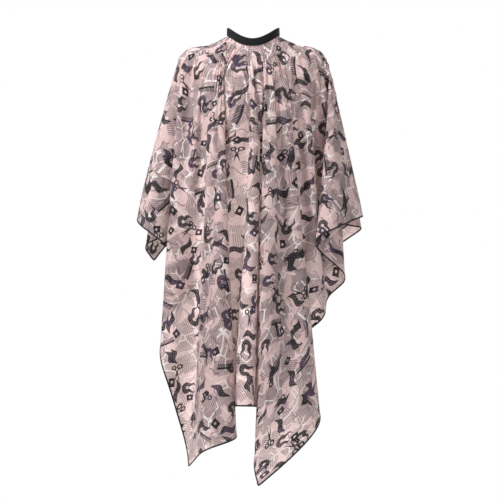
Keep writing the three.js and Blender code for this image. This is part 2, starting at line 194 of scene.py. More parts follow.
class CapeColours(PropertyGroup):
    """Colours of the print, the neckband and the metal."""

    ground: tint("Ground", "Ground of the print", "f0d2cf")
    cream: tint("Cream", "Lightest lines of the print", "faf3f0")
    taupe: tint("Taupe", "Hatched blocks of the print", "6f676b")
    plum: tint("Plum", "Dark shapes of the print", "0e0a10")
    violet: tint("Violet", "Second colour of the dark shapes", "4e3b56")
    black: tint("Black", "Neckband, strap and overlock thread", "0d0e10")
    nickel: tint("Nickel", "Plate of the clip and the strap's tip", "c9cacb")
    satin: tint("Satin", "Care label", "efece4")


# ---- Numpy helpers ----


def smooth(x):
    """Nought to one with level ends: three x squared less two x cubed."""
    x = np.clip(x, 0, 1)
    return x * x * (3 - 2 * x)


def unit(v):
    """Vectors divided by their lengths."""
    return v / np.maximum(np.linalg.norm(v, axis=-1, keepdims=True), 1e-12)


def circle(angle):
    """Cosine and sine of angles, as pairs."""
    return np.stack([np.cos(angle), np.sin(angle)], axis=-1)


def turns(count):
    """Even angles round a full turn, its end left out."""
    return np.linspace(0, 2 * math.pi, count, endpoint=False)


def soft_limit(x, start, end):
    """x up to start, and past it a hyperbolic tangent that never reaches end. Both ways round nought."""
    over = np.maximum(np.abs(x) - start, 0)
    return np.sign(x) * (np.minimum(np.abs(x), start) + (end - start) * np.tanh(over / (end - start)))


def between(grid, times, axis):
    """A grid with one axis first, and for each finer point along it the step it lies in and how far."""
    g = np.moveaxis(np.asarray(grid, float), axis, 0)
    last = len(g) - 1
    at = np.linspace(0, last, last * times + 1)
    i = np.minimum(at.astype(int), last - 1)
    return g, i, (at - i).reshape(-1, *([1] * (g.ndim - 1)))


def finer(grid, times, axis):
    """Points added along one axis of a grid by a Catmull-Rom curve through its points."""
    g, i, t = between(grid, times, axis)
    a, b, c, d = (g[np.clip(i + k, 0, len(g) - 1)] for k in (-1, 0, 1, 2))
    out = b + 0.5 * t * (c - a + t * (2 * a - 5 * b + 4 * c - d + t * (3 * (b - c) + d - a)))
    return np.moveaxis(out, 0, axis)


def straight(grid, times, axis):
    """Points added along one axis of a grid on straight lines between its points."""
    g, i, t = between(grid, times, axis)
    return np.moveaxis(g[i] * (1 - t) + g[i + 1] * t, 0, axis)


def along(points):
    """Distance walked along a line of points."""
    steps = np.linalg.norm(np.diff(points, axis=0), axis=-1)
    return np.concatenate([[0], np.cumsum(steps)])


def normals(grid):
    """Unit normals of a grid of points: down the columns crossed with along the rows."""
    return unit(np.cross(np.gradient(grid, axis=0), np.gradient(grid, axis=1)))


# ---- Meshes ----


def assign(thing, **values):
    """Sets several properties of a Blender thing."""
    for key, value in values.items():
        setattr(thing, key, value)


def add_piece(name, points, faces, uv, material):
    """A mesh object at the origin. uv holds one pair for each corner of each face, in order."""
    mesh = bpy.data.meshes.new(name)
    mesh.from_pydata(np.asarray(points).reshape(-1, 3).tolist(), [], faces)
    mesh.uv_layers.new(name="Cut").data.foreach_set("uv", np.asarray(uv, np.float32).ravel())
    mesh.polygons.foreach_set("use_smooth", [True] * len(mesh.polygons))
    mesh.update()
    piece = bpy.data.objects.new(name, mesh)
    bpy.context.collection.objects.link(piece)
    if material:
        mesh.materials.append(material)
    return piece


def quads(rows, columns, around=False):
    """Vertex numbers of a grid's quads, as (rows - 1, columns or columns - 1, 4)."""
    index = np.arange(rows * columns).reshape(rows, columns)
    if around:
        index = np.concatenate([index, index[:, :1]], axis=1)
    return np.stack([index[:-1, :-1], index[1:, :-1], index[1:, 1:], index[:-1, 1:]], axis=-1)


def sheet_piece(name, points, uv, material):
    """An open surface over a grid of points, with uv given for each point."""
    faces = quads(*points.shape[:2]).reshape(-1, 4)
    return add_piece(name, points, faces.tolist(), uv.reshape(-1, 2)[faces.ravel()], material)


def closed_piece(name, points, faces, uv, material):
    """A closed surface, turned inside out if its signed volume is below nought."""
    piece = add_piece(name, points, faces, uv, material)
    mesh = piece.data
    mesh.calc_loop_triangles()
    corners = np.empty(len(mesh.loop_triangles) * 3, np.int32)
    mesh.loop_triangles.foreach_get("vertices", corners)
    a, b, c = (np.asarray(points).reshape(-1, 3)[corners[k::3]] for k in range(3))
    if (a * np.cross(b, c)).sum() < 0:
        mesh.flip_normals()
    return piece


def rod_piece(name, points, material):
    """A closed surface round a grid of points, its first and last rows capped. The uv is metres walked
    along one column and round the middle row."""
    rows, columns = points.shape[:2]
    walk = along(points[:, columns // 4])
    ring = along(np.concatenate([points[rows // 2], points[rows // 2, :1]]))
    chart = np.stack(np.broadcast_arrays(walk[:, None], ring), axis=-1)
    uv = chart.reshape(-1, 2)[quads(rows, columns + 1).ravel()]
    first, last = np.arange(columns), np.arange(columns) + (rows - 1) * columns
    sides = quads(rows, columns, around=True).reshape(-1, 4)
    faces = sides.tolist() + [first.tolist(), last[::-1].tolist()]
    return closed_piece(name, points, faces, np.concatenate([uv, chart[0, :-1], chart[-1, :-1]]), material)


def carry(centre, across, up, outline):
    """An outline of (across, up) pairs carried through stations, as (stations, points, 3). The outline may
    be one for all stations or one for each."""
    a, b = outline[..., 0, None], outline[..., 1, None]
    return centre[:, None] + a * across[:, None] + b * up[:, None]


def rounded(width, height, corner, per_corner=4):
    """A rectangle's outline with round corners, as (across, up) pairs."""
    spots = []
    for quarter, (sx, sy) in enumerate(((1, 1), (-1, 1), (-1, -1), (1, -1))):
        arc = corner * circle(np.linspace(0, math.pi / 2, per_corner) + quarter * math.pi / 2)
        spots.append(arc + [sx * (width / 2 - corner), sy * (height / 2 - corner)])
    return np.concatenate(spots)


# ---- The neck ring ----


def towards_throat(degrees):
    """Nought in the nape plane, one where the ring dips to the throat."""
    return smooth((np.minimum(degrees, 360 - degrees) - 80) / 25)


def ring_point(degrees):
    """The ring's middle line at an angle from the nape towards +X. It is a circle whose radius shrinks from
    the strap's to the tucked end's, tipped by the nape's tilt at the back and dropped by the cosine squared
    at the front."""
    angle = np.radians(degrees)
    radius = STRAP_RADIUS + (TUCKED_RADIUS - STRAP_RADIUS) * smooth((degrees - 80) / 240)
    reach = radius * np.cos(angle)
    throat = towards_throat(degrees)
    z = -(1 - throat) * reach * math.sin(NAPE_TILT) - throat * FRONT_DROP * np.cos(angle) ** 2
    return np.stack([radius * np.sin(angle), reach * math.cos(NAPE_TILT), z], axis=-1)


def ring_stations(degrees):
    """Middle, outward and upward directions of the ring at each angle."""
    ahead = unit(ring_point(degrees + 0.5) - ring_point(degrees - 0.5))
    throat = towards_throat(degrees)[:, None]
    nape_up = np.array([0, math.sin(NAPE_TILT), math.cos(NAPE_TILT)])
    across = unit(np.cross((1 - throat) * nape_up + throat * np.array([0, 0, 1.0]), ahead))
    return ring_point(degrees), across, np.cross(ahead, across)


def nape_stations(degrees, radius):
    """Middle, outward and upward directions of a circle in the tilted nape plane."""
    angle = np.radians(degrees)
    c, s = math.cos(NAPE_TILT), math.sin(NAPE_TILT)
    across = np.stack([np.sin(angle), np.cos(angle) * c, -np.cos(angle) * s], axis=-1)
    up = np.broadcast_to(np.array([0, s, c]), across.shape)
    return radius * across, across, up


# ---- The flat cloth and its fall ----


def flat_cut(sizes):
    """The cut cloth as a grid. Each column runs straight from the neck hole's circle to the rectangle's
    edge, and the columns walk the edge from the slit round the right side, the front and the left side back
    to the slit. Rows crowd towards the hole by a power of 1.15."""
    half, front, back = sizes.width / 2, sizes.front, -sizes.back
    corners = ([0, -half, -half, half, half, 0], [back, back, front, front, back, back])
    at = np.arange(CORNER_COLUMNS[-1] + 1)
    edge = np.stack([np.interp(at, CORNER_COLUMNS, line) for line in corners], axis=-1)
    angle = np.arctan2(edge[:, 0], edge[:, 1])
    angle[0], angle[-1] = -math.pi, math.pi
    ring = np.stack([np.sin(angle), np.cos(angle)], axis=-1)
    share = np.linspace(0, 1, ROWS - 1)[:, None, None] ** 1.15
    body = ring * (sizes.hole + TUCK) * (1 - share) + edge * share
    return np.concatenate([ring[None] * sizes.hole, body]), angle


def start_shape(flat, angle, sizes):
    """The cloth before it falls: a shallow cone from the neckband's lower edge that keeps every column's
    length, with nine low waves and a few dents where the deep folds gather. The two front corners are swung
    round the neck by the square of their distance out."""
    band = np.interp(angle, [-math.pi, 0, math.pi], [BACK_SEAM[0], 180, BACK_SEAM[1]])
    centre, _, up = ring_stations(band)
    run = np.hypot(flat[..., 0], flat[..., 1]) - sizes.hole - TUCK
    swung = angle + np.zeros_like(run)
    for place, spread, swing in SWINGS:
        swung += swing * np.exp(-(((angle - place) / spread) ** 2)) * run**2
    out = np.stack([np.sin(swung), -np.cos(swung), np.zeros_like(swung)], axis=-1)
    hidden, lip = (centre + level * up for level in TUCK_LEVELS)
    points = lip[None] + out * run[..., None] * math.cos(CONE)
    points[..., 2] -= run * math.sin(CONE) * run / (run + 0.06)
    points[..., 2] += 0.012 * np.cos(9 * angle) * np.clip(run / 0.2, None, 1)
    for place, spread in DENTS:
        points[..., 2] -= 0.03 * np.exp(-(((angle - place) / spread) ** 2)) * np.clip(run / 0.15, 0, 1)
    points[0] = hidden
    points[1] = lip
    return points


def torso_rings():
    """Level rings of the torso: sine and cosine to a power, times half the width and half the depth."""
    angle = turns(64)
    z, width, depth, middle, power = (np.array(column)[:, None] for column in zip(*TORSO))
    c, s = np.cos(angle), np.sin(angle)
    x = width * np.sign(c) * np.abs(c) ** power
    y = middle + depth * np.sign(s) * np.abs(s) ** power
    return np.stack([x, y, np.broadcast_to(z, x.shape)], axis=-1)


def arm_rings(side):
    """A tapered capsule from the shoulder to the hand on one side."""
    a, b = (np.array(spot) * [side, 1, 1] for spot in (SHOULDER, HAND))
    reach = np.linalg.norm(b - a)
    axis = (b - a) / reach
    e1 = unit(np.cross(axis, [0, 1, 0]))
    e2 = np.cross(axis, e1)
    first, last = ARM_RADII
    quarter = np.linspace(0, math.pi / 2, 6)
    middle = np.linspace(0, 1, 14)[1:-1]
    height = np.concatenate([-first * np.cos(quarter), reach * middle, reach + last * np.sin(quarter)])
    taper = first + (last - first) * middle
    radius = np.concatenate([first * np.sin(quarter), taper, last * np.cos(quarter)])
    angle = turns(24)
    spoke = np.cos(angle)[:, None] * e1 + np.sin(angle)[:, None] * e2
    return a + axis * height[:, None, None] + np.maximum(radius, 0.001)[:, None, None] * spoke


def form_piece(rings):
    """A closed form that the cloth collides with."""
    piece = rod_piece("hanging_form", rings, None)
    piece.modifiers.new("Collision", "COLLISION")
    assign(piece.collision, thickness_outer=0.004, thickness_inner=0.02, cloth_friction=5, damping=0.5)
    return piece


def fall(start, flat, frames):
    """The cloth after it has fallen from start onto the form, held at its first two rows. Its rest lengths
    are the flat cut's. Everything used is removed, and the points are returned as a grid."""
    rows, columns = start.shape[:2]
    flat_points = np.stack([flat[..., 0], -flat[..., 1], np.zeros(flat.shape[:2])], axis=-1)
    cloth = sheet_piece("falling_cloth", start, flat, None)
    cloth.shape_key_add(name="Basis")
    rest = cloth.shape_key_add(name="flat")
    rest.data.foreach_set("co", flat_points.astype(np.float32).ravel())
    held = cloth.vertex_groups.new(name="held")
    held.add(list(range(2 * columns)), 1.0, "REPLACE")
    forms = [form_piece(torso_rings()), form_piece(arm_rings(-1)), form_piece(arm_rings(1))]

    modifier = cloth.modifiers.new("Cloth", "CLOTH")
    assign(modifier.settings, quality=5, mass=0.15, vertex_group_mass=held.name, rest_shape_key=rest)
    assign(modifier.settings, tension_stiffness=15, compression_stiffness=15, tension_damping=5)
    assign(modifier.settings, compression_damping=5, shear_stiffness=5, shear_damping=5)
    assign(modifier.settings, bending_stiffness=3, bending_damping=0.5, air_damping=4)
    assign(modifier.collision_settings, distance_min=0.004, collision_quality=2, use_self_collision=True)
    assign(modifier.collision_settings, self_distance_min=0.002, self_friction=3)
    assign(modifier.point_cache, frame_start=1, frame_end=frames)

    scene = bpy.context.scene
    scene.frame_start, scene.frame_end = 1, frames
    for number in range(1, frames + 1):
        scene.frame_set(number)
    fallen = cloth.evaluated_get(bpy.context.evaluated_depsgraph_get())
    points = np.empty(rows * columns * 3, np.float32)
    fallen.data.vertices.foreach_get("co", points)
    for piece in (cloth, *forms):
        mesh = piece.data
        bpy.data.objects.remove(piece)
        bpy.data.meshes.remove(mesh)
    scene.frame_set(1)
    if not np.isfinite(points).all():
        raise RuntimeError("the cloth's fall gave points that aren't finite")
    return points.reshape(rows, columns, 3).astype(float)


def gathers(angle, run):
    """Relief of the gathers: narrow bells at uneven angles round the ring, each fading down the cloth by a
    bell of its own length, and nought inside the neckband."""
    pick = np.random.default_rng(11)
    places = np.linspace(-math.pi, math.pi, 54) + pick.uniform(-0.05, 0.05, 54)
    widths = pick.uniform(0.014, 0.038, 54)
    heights = pick.uniform(0.0006, 0.0024, 54)
    lengths = pick.uniform(0.025, 0.085, 54)
    relief = np.zeros_like(run)
    for place, width, height, reach in zip(places, widths, heights, lengths):
        bell = np.exp(-(((angle - place) / (width * (1 + 6 * run))) ** 2))
        relief += height * bell * np.exp(-((run / reach) ** 2))
    return relief * smooth((run - 0.002) / 0.012)


def cloth_grid():
    """Points of the finished cloth as a grid."""
    cloth = bpy.data.objects["cape_cloth"]
    rows, columns = cloth["rows"], cloth["columns"]
    points = np.empty(rows * columns * 3)
    cloth.data.vertices.foreach_get("co", points)
    return points.reshape(rows, columns, 3)


# ---- Shader maths ----


class Field:
    """A number that varies over a surface. Arithmetic on it adds Math nodes to its shader."""

    def __init__(self, shader, socket):
        self.shader, self.socket = shader, socket

    def math(self, operation, *others):
        return self.shader.math(operation, self, *others)

    def wave(self, pitch):
        """A sine wave of a pitch."""
        return (self * 2 * math.pi / pitch).math("SINE")

    __add__ = __radd__ = lambda self, other: self.math("ADD", other)
    __sub__ = lambda self, other: self.math("SUBTRACT", other)
    __rsub__ = lambda self, other: self.shader.math("SUBTRACT", other, self)
    __mul__ = __rmul__ = lambda self, other: self.math("MULTIPLY", other)
    __truediv__ = lambda self, other: self.math("DIVIDE", other)
    __lt__ = lambda self, other: self.math("LESS_THAN", other)
    __gt__ = lambda self, other: self.math("GREATER_THAN", other)
    __abs__ = lambda self: self.math("ABSOLUTE")


class Shader:
    """A material's nodes. node() adds any node, and the other methods are short forms of it."""

    def __init__(self, name):
        self.material = bpy.data.materials.new(name)
        self.material.use_nodes = True
        tree = self.material.node_tree
        self.nodes, self.links = tree.nodes, tree.links
        self.nodes.clear()

    def node(self, kind, settings=None, sockets=None):
        """Adds a node of a type, gives it its settings and then its sockets' values or links."""
        node = self.nodes.new(kind)
        assign(node, **(settings or {}))
        for key, value in (sockets or {}).items():
            if isinstance(value, Field):
                value = value.socket
            if isinstance(value, bpy.types.NodeSocket):
                self.links.new(value, node.inputs[key])
            else:
                node.inputs[key].default_value = value
        return node

    def math(self, operation, *values):
        node = self.node("ShaderNodeMath", {"operation": operation}, dict(enumerate(values)))
        return Field(self, node.outputs[0])

    def vector(self, operation, *values):
        node = self.node("ShaderNodeVectorMath", {"operation": operation}, dict(enumerate(values)))
        return node.outputs[0]

    def mix(self, factor, first, second):
        """The first colour where factor is nought, the second where it is one."""
        first, second = ((*c, 1.0) if isinstance(c, tuple) else c for c in (first, second))
        node = self.node("ShaderNodeMix", {"data_type": "RGBA"}, {0: factor, 6: first, 7: second})
        return node.outputs[2]

    def cut(self):
        """The place on the piece's own map, in metres."""
        return self.node("ShaderNodeUVMap", {"uv_map": "Cut"}).outputs[0]

    def parts(self, vector):
        """A vector's x and y."""
        node = self.node("ShaderNodeSeparateXYZ", None, {0: vector})
        return Field(self, node.outputs[0]), Field(self, node.outputs[1])

    def place(self):
        """The place in the object's own space, in metres."""
        return self.node("ShaderNodeTexCoord").outputs["Object"]

    def noise(self, where, scale, detail=2.0):
        node = self.node("ShaderNodeTexNoise", None, {"Vector": where, "Scale": scale, "Detail": detail})
        return Field(self, node.outputs["Fac"])

    def turned(self, vector, angle):
        sockets = {"Vector": vector, "Angle": angle}
        return self.node("ShaderNodeVectorRotate", {"rotation_type": "Z_AXIS"}, sockets).outputs[0]

    def bump(self, height, distance, strength, under=None):
        sockets = {"Strength": strength, "Distance": distance, "Height": height}
        if under is not None:
            sockets["Normal"] = under
        return self.node("ShaderNodeBump", None, sockets).outputs[0]

    def surface(self, colour, roughness, normal, constants):
        """A Principled shader. constants go straight onto its sockets."""
        sockets = {"Base Color": colour, "Roughness": roughness, "Normal": normal, **constants}
        return self.node("ShaderNodeBsdfPrincipled", None, sockets).outputs[0]

    def finish(self, shader):
        self.node("ShaderNodeOutputMaterial", None, {"Surface": shader})
        return self.material

    def finish_plain(self, base, other, share, height, relief, roughness, constants):
        """Finishes a material that goes from its base colour to another, which is the base's channels times
        other[0] plus other[1]. relief is the bump's distance and strength."""
        base = tuple(base)
        colour = self.mix(share, base, tuple(other[0] * c + other[1] for c in base))
        return self.finish(self.surface(colour, roughness, self.bump(height, *relief), constants))


def gloss(specular, sheen=0.0, spread=0.5):
    """Constants of a fibre: its specular level, and the weight and roughness of its sheen."""
    return {"Specular IOR Level": specular, "Sheen Weight": sheen, "Sheen Roughness": spread}


def both(*masks):
    """One where every mask is one."""
    return math.prod(masks[1:], start=masks[0])


def either(*masks):
    """One where any mask is one."""
    highest = masks[0]
    for mask in masks[1:]:
        highest = highest.math("MAXIMUM", mask)
    return highest


def choose(share, first, second):
    """first where share is one, second where it is nought."""
    return second + (first - second) * share


def scattered(shader, cut, turn, cell, stray, seed):
    """One place in each cell of a grid that is turned on the cloth and has every other row moved by half a
    cell. Gives x and y from that place, themselves turned at random, and a random number for the cell."""
    x, y = shader.parts(shader.turned(cut, turn))
    x, y = x / cell, y / cell
    row = y.math("FLOOR")
    x = x + 0.5 * row.math("FLOORED_MODULO", 2)
    column = x.math("FLOOR")
    corner = shader.node("ShaderNodeCombineXYZ", None, {0: column, 1: row, 2: seed}).outputs[0]
    chance = shader.node("ShaderNodeTexWhiteNoise", {"noise_dimensions": "3D"}, {"Vector": corner})
    red, green = shader.parts(chance.outputs["Color"])
    inside_x = (x - column - 0.5) * cell - (red - 0.5) * stray
    inside_y = (y - row - 0.5) * cell - (green - 0.5) * stray
    inside = shader.node("ShaderNodeCombineXYZ", None, {0: inside_x, 1: inside_y}).outputs[0]
    spin = Field(shader, chance.outputs["Value"]) * (2 * math.pi)
    return *shader.parts(shader.turned(inside, spin)), red


def fraction_under(field, pitch, share):
    """Stripes: one for the first share of every pitch."""
    return (field / pitch).math("FRACT") < share


def hair_arch(x, y):
    """An arch of hair with two wavy tails, and a few light strands through it."""
    rise = y.math("MAXIMUM", 0.0)
    reach = (x * x + rise * rise).math("SQRT")
    off = reach - 0.0125 - 0.0030 * (y / 0.0045).math("SINE") * (y < 0.0)
    taper = (1.0 + y / 0.040).math("MINIMUM", 1.0)
    strands = fraction_under(off + 0.0215, 0.0052, 0.07)
    return both(abs(off) < 0.0072 * taper, 1 - strands, y > -0.038)


def hair_lock(x, y):
    """A thick lock of hair that waves along its length, tapers at both ends and has a few light strands."""
    off = y - 0.0060 * (x / 0.0085).math("SINE")
    share = x / 0.036
    strands = fraction_under(off + 0.0215, 0.0060, 0.06)
    return both(abs(off) < 0.0105 * (1.0 - share * share), 1 - strands)


def comb_shape(x, y):
    """A comb: a straight back and square teeth under it."""
    back = both(abs(x) < 0.031, abs(y - 0.0050) < 0.0030)
    teeth = both(abs(x) < 0.029, abs(y + 0.0030) < 0.0060, fraction_under(x + 0.1, 0.0044, 0.60))
    return either(back, teeth)


def scissors_shape(x, y):
    """Open scissors: two blades that cross at the pivot, two shanks and two finger rings."""
    side = abs(y)
    blade = both(abs(side - 0.24 * x) < 0.0034 * (1.0 - x / 0.036), x > 0.0)
    shank = both(abs(side + 0.45 * x) < 0.0021, x < 0.0, x > -0.014)
    ring_x = x + 0.0200
    ring_y = side - 0.0098
    ring = abs((ring_x * ring_x + ring_y * ring_y).math("SQRT") - 0.0068) < 0.0023
    return either(blade, shank, ring)


def print_layers(shader, cut):
    """The print's layers as masks from nought to one. The cloth is drifted by a slow noise first, so that no
    row of shapes is straight. Torn blocks with hatching lie under the dark shapes."""
    drift = shader.node("ShaderNodeTexNoise", None, {"Vector": cut, "Scale": 7.0, "Detail": 1.0})
    wander = shader.vector("SUBTRACT", drift.outputs["Color"], (0.5, 0.5, 0.5))
    bent = shader.vector("MULTIPLY_ADD", wander, (0.05, 0.05, 0.0), cut)
    torn = 0.010 * (shader.noise(bent, 90.0, 1.0) - 0.5)

    blocks, hatches = [], []
    for turn, seed, cell, wide, high in BLOCKS:
        x, y, pick = scattered(shader, bent, turn, cell, 0.012, seed)
        block = both(abs(x) < wide + torn, abs(y) < high + torn, pick > 0.20)
        blocks.append(block)
        hatches.append(both(block, fraction_under(y + 1.7, HATCH_PITCH, 0.52)))

    darks = []
    for turn, seed, cell in HAIR:
        x, y, pick = scattered(shader, bent, turn, cell, 0.024, seed)
        x, y = x / PRINT_SIZE, y / PRINT_SIZE
        darks.append(choose(pick > 0.5, hair_arch(x, y), hair_lock(x, y)))
    x, y, pick = scattered(shader, bent, -0.75, 0.100, 0.032, 47.0)
    x, y = x / PRINT_SIZE, y / PRINT_SIZE
    darks.append(choose(pick > 0.55, scissors_shape(x, y), comb_shape(x, y)))
    x, y, _ = scattered(shader, bent, 0.9, 0.104, 0.066, 23.0)
    darks.append(both(abs(x) < 0.0105, abs(y) < 0.0090, 1 - ((abs(x - 0.001) + abs(y)) < 0.0045)))
    dark = either(*darks)

    x, y, _ = scattered(shader, bent, 1.3, 0.040, 0.008, 59.0)
    cracks = {"Vector": bent, "Scale": 24.0}
    edges = shader.node("ShaderNodeTexVoronoi", {"feature": "DISTANCE_TO_EDGE"}, cracks)
    dashes = shader.noise(bent, 24.0, 1.0) > 0.47
    return {
        "block": either(*blocks),
        "hatch": either(*hatches),
        "light": both(Field(shader, edges.outputs["Distance"]) < 0.030, dashes),
        "stroke": both(abs(y - 0.0040 * (x / 0.0055).math("SINE")) < 0.0014, abs(x) < 0.015),
        "dark": dark,
        "violet": both(dark, shader.noise(bent, 26.0, 1.0) > 0.54),
    }


def printed_cloth(colours):
    """Thin woven polyester with an all-over print, slightly lit from behind. The print lets less light
    through where it is dark."""
    shader = Shader("printed_polyester")
    cut = shader.cut()
    masks = print_layers(shader, cut)
    mottle = shader.noise(cut, 70.0, 3.0)
    taupe = tuple(colours.taupe)
    colour = shader.mix(0.30 * mottle, tuple(colours.ground), taupe)
    colour = shader.mix((0.08 + 0.30 * mottle) * masks["block"], colour, taupe)
    for mask, strength, ink in INKS:
        colour = shader.mix(strength * masks[mask], colour, tuple(getattr(colours, ink)))

    x, y = shader.parts(cut)
    weave = x.wave(0.0012) * y.wave(0.0012)
    crease = shader.noise(cut, 34.0, 4.0)
    ridges = abs(crease - 0.5) * 2.0
    wrinkles = shader.bump(ridges + 0.5 * shader.noise(cut, 120.0), 0.0018, 0.85)
    normal = shader.bump(weave, 0.00004, 0.6, under=wrinkles)
    front = shader.surface(colour, 0.62 + 0.2 * mottle, normal, gloss(0.3, 0.06, 0.4))
    glow = {"Color": (0.80, 0.63, 0.60, 1), "Normal": normal}
    back_light = shader.node("ShaderNodeBsdfTranslucent", None, glow)
    through = 0.36 - 0.33 * masks["dark"] - 0.10 * masks["hatch"]
    mixed = shader.node("ShaderNodeMixShader", None, {0: through, 1: front, 2: back_light.outputs[0]})
    return shader.finish(mixed.outputs[0])


def knit_rib(colours):
    """Black ribbed knit: rounded ribs across the band, each with small loops down it."""
    shader = Shader("black_rib_knit")
    u, v = shader.parts(shader.cut())
    rib = (u * math.pi / 0.0011).math("SINE")
    loops = (v + 0.0004 * abs(rib)).wave(0.0012)
    fluff = shader.noise(shader.place(), 900.0)
    # Painted highlight: the colour goes up to the base times 1.9 on the rib crests, where the bump is
    # highest; the fluff part is a real random tone.
    share = 0.35 * abs(rib) + 0.3 * fluff
    height = abs(rib) + 0.35 * loops + 0.25 * fluff
    rough = 0.72 + 0.2 * fluff
    other = (1.9, 0.002)
    return shader.finish_plain(colours.black, other, share, height, (0.00035, 0.9), rough, gloss(0.2, 0.06))


def woven_elastic(colours):
    """Black woven elastic: close weft ridges across the strap and fine warp lines along it."""
    shader = Shader("black_woven_elastic")
    u, v = shader.parts(shader.cut())
    weft = u.wave(0.0011)
    fluff = shader.noise(shader.place(), 700.0)
    # Painted highlight: the colour goes lighter on the weft ridges, where the bump is highest; the fluff and
    # the constant part are a real tone.
    share = 0.25 + 0.2 * weft + 0.2 * fluff
    height = weft * (0.6 + 0.4 * v.wave(0.0014)) + 0.3 * fluff
    rough = 0.6 + 0.25 * fluff
    shine = gloss(0.25, 0.05, 0.45)
    return shader.finish_plain(colours.black, (2.2, 0.004), share, height, (0.0002, 0.9), rough, shine)


def webbing(colours):
    """The keeper's webbing, whose weave follows the object's own space."""
    shader = Shader("black_keeper_webbing")
    wave = {"wave_type": "BANDS", "bands_direction": "Z"}
    place = shader.place()
    rows = shader.node("ShaderNodeTexWave", wave, {"Vector": place, "Scale": 180.0, "Distortion": 1.5})
    ridges = Field(shader, rows.outputs["Fac"])
    fluff = shader.noise(place, 1200.0)
    # Painted highlight: the colour goes lighter on the woven ridges, where the bump is highest; the fluff
    # part is a real random tone.
    share = 0.4 * ridges + 0.3 * fluff
    height = ridges + 0.3 * fluff
    rough = 0.65 + 0.2 * fluff
    return shader.finish_plain(colours.black, (2.2, 0.004), share, height, (0.0002, 0.8), rough, gloss(0.3))


def overlock_thread(colours):
    """Black overlock thread: slanting loops side by side along the edge."""
    shader = Shader("black_overlock_thread")
    u, v = shader.parts(shader.cut())
    loops = (u + 0.35 * v).wave(0.0019)
    fluff = shader.noise(shader.place(), 800.0)
    # Painted highlight: the colour goes lighter on the loop tops, where the bump is highest; the fluff and
    # the constant part are a real tone.
    share = 0.3 + 0.3 * loops + 0.2 * fluff
    height = loops + 0.3 * fluff
    rough = 0.55 + 0.25 * fluff
    shine = gloss(0.4, 0.1, 0.4)
    return shader.finish_plain(colours.black, (2.4, 0.006), share, height, (0.0003, 0.9), rough, shine)


def sewing_thread(colours):
    """Twisted black sewing thread."""
    shader = Shader("black_sewing_thread")
    u, v = shader.parts(shader.cut())
    twist = (u + v).wave(0.0007)
    fluff = shader.noise(shader.place(), 1500.0, 1.0)
    # Painted highlight: the colour goes lighter on the twist crests, where the bump is highest; the fluff and
    # the constant part are a real tone.
    share = 0.4 + 0.3 * twist + 0.2 * fluff
    rough = 0.5 + 0.2 * fluff
    return shader.finish_plain(colours.black, (3.2, 0.01), share, twist, (0.00012, 0.8), rough, gloss(0.45))


def nickel_plate(colours):
    """Bright nickel over stamped steel, rubbed along the stamping with a few dull spots."""
    shader = Shader("nickel_plate")
    place = shader.place()
    rub = shader.noise(shader.vector("MULTIPLY", place, (300.0, 300.0, 2600.0)), 1.0, 2.0)
    spots = shader.noise(place, 420.0, 3.0)
    dull = (spots - 0.56).math("MAXIMUM", 0.0) * 3.0
    height = rub + 0.6 * spots
    rough = 0.16 + 0.12 * rub + 0.3 * dull
    metal = {"Metallic": 1.0}
    return shader.finish_plain(colours.nickel, (0.62, 0.0), dull, height, (0.00002, 0.5), rough, metal)


def satin_label(colours):
    """White satin ribbon with long floats and a slightly grey cut edge."""
    shader = Shader("white_satin")
    u, v = shader.parts(shader.cut())
    floats = shader.noise(shader.vector("MULTIPLY", shader.cut(), (3000.0, 500.0, 1.0)), 1.0, 1.0)
    edge = abs(u - LABEL_HALF_WIDTH) > 0.0122
    share = 0.12 * floats + 0.25 * edge
    height = v.wave(0.0009) + floats
    rough = 0.32 + 0.15 * floats
    shine = gloss(0.55, 0.2, 0.3)
    return shader.finish_plain(colours.satin, (0.72, 0.0), share, height, (0.00005, 0.6), rough, shine)


def pale_floor():
    """A matt pale floor that fades out with distance from its middle."""
    shader = Shader("pale_floor")
    x, y = shader.parts(shader.place())
    reach = (x * x + y * y).math("SQRT")
    grain = shader.noise(shader.place(), 14.0, 3.0)
    colour = shader.mix(0.08 * grain, (0.93, 0.93, 0.92), (0.86, 0.86, 0.86))
    solid = 1.0 - ((reach - 0.25) / 0.65).math("MINIMUM", 1.0).math("MAXIMUM", 0.0)
    constants = {"Alpha": 0.85 * solid, "Specular IOR Level": 0.1}
    normal = shader.bump(grain, 0.0002, 0.2)
    return shader.finish(shader.surface(colour, 0.9 + 0.05 * grain, normal, constants))


# ---- Pieces ----


def edge_binding(name, edge, inward, width, half_thickness, beyond, material):
    """Binding that wraps a line at the cloth's edge: a flat rounded section from just beyond the line to
    its width inside it, square to the line and in the cloth's surface."""
    ahead = unit(np.gradient(edge, axis=0))
    inward = unit(inward - (inward * ahead).sum(axis=-1, keepdims=True) * ahead)
    section = rounded(width + beyond, 2 * half_thickness, 0.9 * half_thickness, 3)
    section = section + [(width - beyond) / 2, 0]
    return rod_piece(name, carry(edge, inward, np.cross(ahead, inward), section), material)


